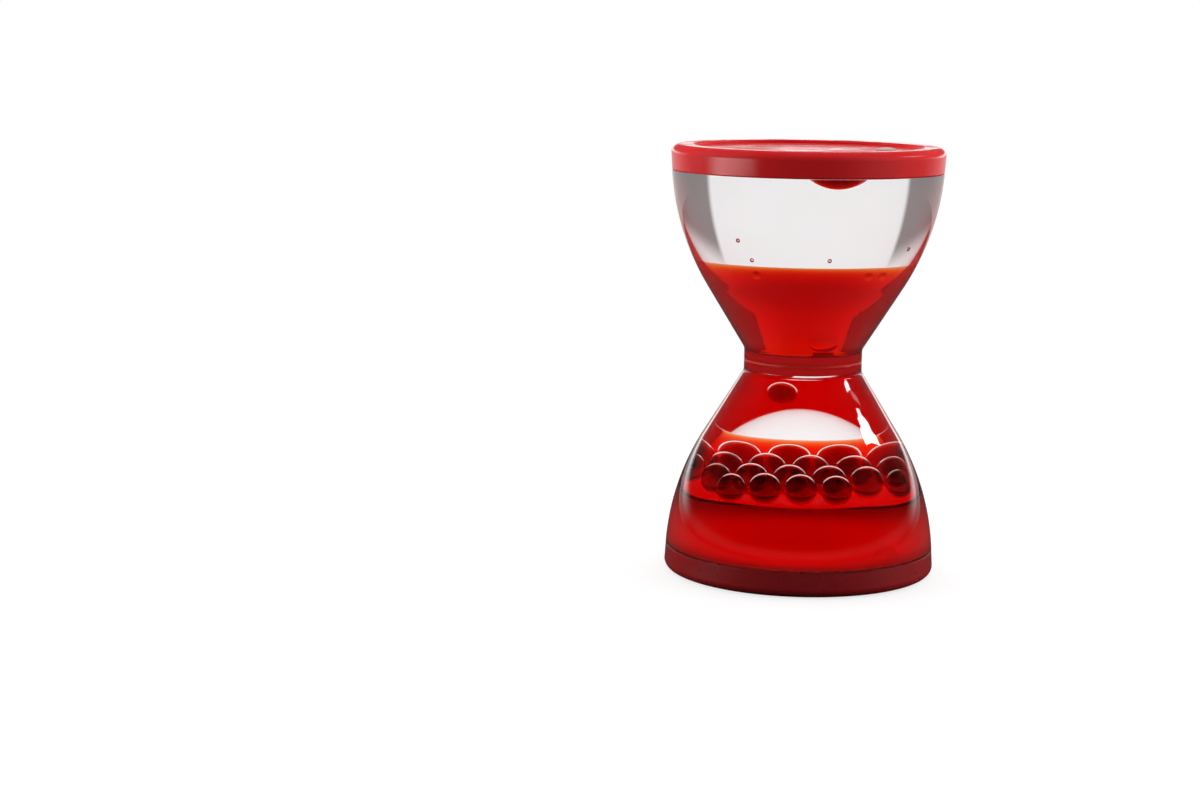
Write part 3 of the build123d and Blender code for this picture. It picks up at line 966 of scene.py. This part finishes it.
# %% Mirrored room
room_dark, room_pale, room_high, strip_extra = 0.03, 0.6, 0.15, 3.0
window_aim, window_light = (-0.92, -0.39, -0.03), 6.0
room = region([
    (y, 0.35, 0.95, room_dark, room_pale),
    (z, 0.03, 0.12, 1.0, room_high),
])
strip = region([
    (z, -0.01, 0.03, 0.0, 1.0),
    (z, 0.06, 0.1, strip_extra, 0.0),
])
strip = add(tree, MATH, {"operation": "ADD", 0: strip, 1: 1.0}).outputs[0]
room = add(tree, MATH, {"operation": "MULTIPLY", 0: room, 1: strip}).outputs[0]
aim = add(tree, VECTOR, {"operation": "DOT_PRODUCT", 0: direction, 1: window_aim})
window = region([
    (aim.outputs["Value"], 0.89, 0.985, 0.0, window_light),
    (z, -0.1, -0.06, 1.0, 0.0),
    (z, -0.175, -0.15, 0.0, 1.0),
])
mirror = add(tree, MATH, {"operation": "ADD", 0: room, 1: window}).outputs[0]
print("mirrored room from", room_dark, "to", room_pale * (1 + strip_extra))

# %% One world for every ray
light = add(tree, MIX, {0: rays["Is Glossy Ray"], 2: fill, 3: mirror}).outputs[0]
light = add(tree, MIX, {0: rays["Is Transmission Ray"], 2: light, 3: through}).outputs[0]
light = add(tree, MIX, {0: rays["Is Camera Ray"], 2: light, 3: 1.0}).outputs[0]
background = add(tree, "ShaderNodeBackground", {"Color": white_light, "Strength": light})
tree.links.new(background.outputs[0], output.inputs["Surface"])
print("world of", len(tree.nodes), "nodes")

# %% [markdown]
# ### Highlight
#
# The lower bowl mirrors a window high at the right: a dot at the top, a faint patch under it, and
# a wedge that widens downwards. One lamp would give a plain bar, so five narrow panes, tilted as
# the cone tilts their image, build that shape up line by line. Rays that have gone through plastic
# do not see them, which keeps stray images of the window out of the liquids.

# %% Panes of a tilted window
pane_distance, pane_tilt = 0.7, math.radians(-29.0)
pane_toward = np.array((0.825, 0.22, 0.52))
pane_toward /= np.linalg.norm(pane_toward)
pane_level = np.cross([0.0, 0.0, 1.0], pane_toward)
pane_level /= np.linalg.norm(pane_level)
pane_rise = np.cross(pane_toward, pane_level)
pane_across = math.cos(pane_tilt) * pane_level + math.sin(pane_tilt) * pane_rise
pane_up = np.cross(pane_toward, pane_across)
pane_middle = np.array([0.0, 0.0, neck_z * MM]) + pane_toward * pane_distance


def pane(name, shift, rise, width, height, radiance):
    """Area lamp in millimetres from the window's middle: watts = radiance * pi * area."""
    data = bpy.data.lights.new(name, "AREA")
    data.shape = "RECTANGLE"
    data.size, data.size_y = width * MM, height * MM
    data.energy = radiance * math.pi * data.size * data.size_y
    lamp = bpy.data.objects.new(name, data)
    centre = pane_middle + (pane_across * shift + pane_up * rise) * MM
    axes = np.column_stack([pane_across, pane_up, pane_toward, centre])
    lamp.matrix_world = Matrix([*axes.tolist(), [0, 0, 0, 1]])
    lamp.visible_transmission = False
    bpy.context.scene.collection.objects.link(lamp)
    print(f"{name}: {data.energy:.3f} W")


pane("window_pane_top", -60, -2, 105, 5, 16)
pane("window_pane_blind", 20, -7, 110, 5, 1.5)
pane("window_pane_narrow", -25, -16, 70, 4, 14)
pane("window_pane_middle", -10, -20.5, 170, 5, 16)
pane("window_pane_wide", 0, -28, 240, 10, 16)

# %% [markdown]
# ## Camera
#
# The camera was fitted to the outline in the picture: about 44 cm in front of the timer, a little
# above it, and turned so that the timer stands right of the middle. A fitted camera could also use
# lens shift, but a plain turned one keeps every other view simple.

# %% Camera at the picture's viewpoint
camera_place = np.array([-3.168, -440.0, 103.141]) * MM
pan, pitch, roll = -0.0815, 0.1598, 0.0126
focal_pixels = 2296.68
frame_pixels = 1200
across = np.array([math.cos(pan), -math.sin(pan), 0.0])
ahead_level = np.array([math.sin(pan), math.cos(pan), 0.0])
upright = np.array([0.0, 0.0, 1.0])
ahead = math.cos(pitch) * ahead_level - math.sin(pitch) * upright
lifted = math.sin(pitch) * ahead_level + math.cos(pitch) * upright
right = math.cos(roll) * across + math.sin(roll) * lifted
up = math.cos(roll) * lifted - math.sin(roll) * across
lens = bpy.data.cameras.new("camera")
lens.sensor_width = 36.0
lens.lens = focal_pixels * lens.sensor_width / frame_pixels
lens.clip_start, lens.clip_end = 0.01, 50.0
camera = bpy.data.objects.new("camera", lens)
camera_axes = np.column_stack([right, up, -ahead, camera_place])
camera.matrix_world = Matrix([*camera_axes.tolist(), [0, 0, 0, 1]])
bpy.context.scene.collection.objects.link(camera)
bpy.context.scene.camera = camera
print("lens", round(lens.lens, 2), "mm")

# %% [markdown]
# ## View settings
#
# A ray crosses up to eight surfaces on its way through a bowl, and more where it is reflected
# inside, so it needs many bounces before it ends. The Standard view shows a colour as it is
# written.

ray_bounces = 40
scene = bpy.context.scene
scene.view_settings.view_transform = "Standard"
scene.cycles.max_bounces = ray_bounces
scene.cycles.transmission_bounces = ray_bounces
scene.cycles.blur_glossy = 0.0
print("a ray may bounce", ray_bounces, "times")
